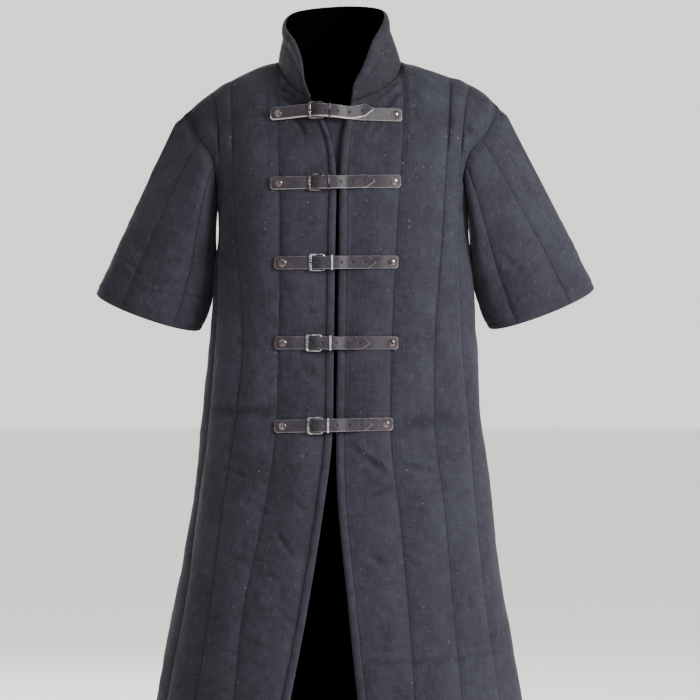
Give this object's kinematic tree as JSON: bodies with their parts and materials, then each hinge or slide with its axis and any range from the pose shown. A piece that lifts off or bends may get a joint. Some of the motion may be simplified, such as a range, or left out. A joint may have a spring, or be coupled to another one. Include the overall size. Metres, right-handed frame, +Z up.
{
  "type": "quilted gambeson coat",
  "caption": "Vertically quilted half-sleeved arming coat with a stand collar, open skirts and a strap-and-buckle front, kept in its worn, hollow form",
  "frame": {"origin": "middle between the shoulders, level with the foot of the collar at the neck points, where the wearer holds the coat up", "axes": "+Z up along the coat's length, -Y the front with the buckles, +X the wearer's left"},
  "size_m": [0.797, 0.3883, 1.1908],
  "materials": {
    "canvas": "matte slubby cotton canvas",
    "leather": "waxed, pale raw edges",
    "buckle_metal": "darkened nickel",
    "rivet_metal": "antique copper"
  },
  "bodies": {
    "root": {"front_right": "canvas", "front_left": "canvas", "back": "canvas", "sleeve_right": "canvas", "sleeve_left": "canvas", "collar": "canvas", "front_underlap": "canvas", "strap_1_billet": "leather", "strap_1_chape": "leather", "strap_1_buckle": "buckle_metal", "strap_1_prong": "buckle_metal", "strap_1_keeper": "buckle_metal", "strap_1_rivet_right": "rivet_metal", "strap_1_rivet_left": "rivet_metal", "strap_2_billet": "leather", "strap_2_chape": "leather", "strap_2_buckle": "buckle_metal", "strap_2_prong": "buckle_metal", "strap_2_keeper": "buckle_metal", "strap_2_rivet_right": "rivet_metal", "strap_2_rivet_left": "rivet_metal", "strap_3_billet": "leather", "strap_3_chape": "leather", "strap_3_buckle": "buckle_metal", "strap_3_prong": "buckle_metal", "strap_3_keeper": "buckle_metal", "strap_3_rivet_right": "rivet_metal", "strap_3_rivet_left": "rivet_metal", "strap_4_billet": "leather", "strap_4_chape": "leather", "strap_4_buckle": "buckle_metal", "strap_4_prong": "buckle_metal", "strap_4_keeper": "buckle_metal", "strap_4_rivet_right": "rivet_metal", "strap_4_rivet_left": "rivet_metal", "strap_5_billet": "leather", "strap_5_chape": "leather", "strap_5_buckle": "buckle_metal", "strap_5_prong": "buckle_metal", "strap_5_keeper": "buckle_metal", "strap_5_rivet_right": "rivet_metal", "strap_5_rivet_left": "rivet_metal"}
  },
  "joints": []
}
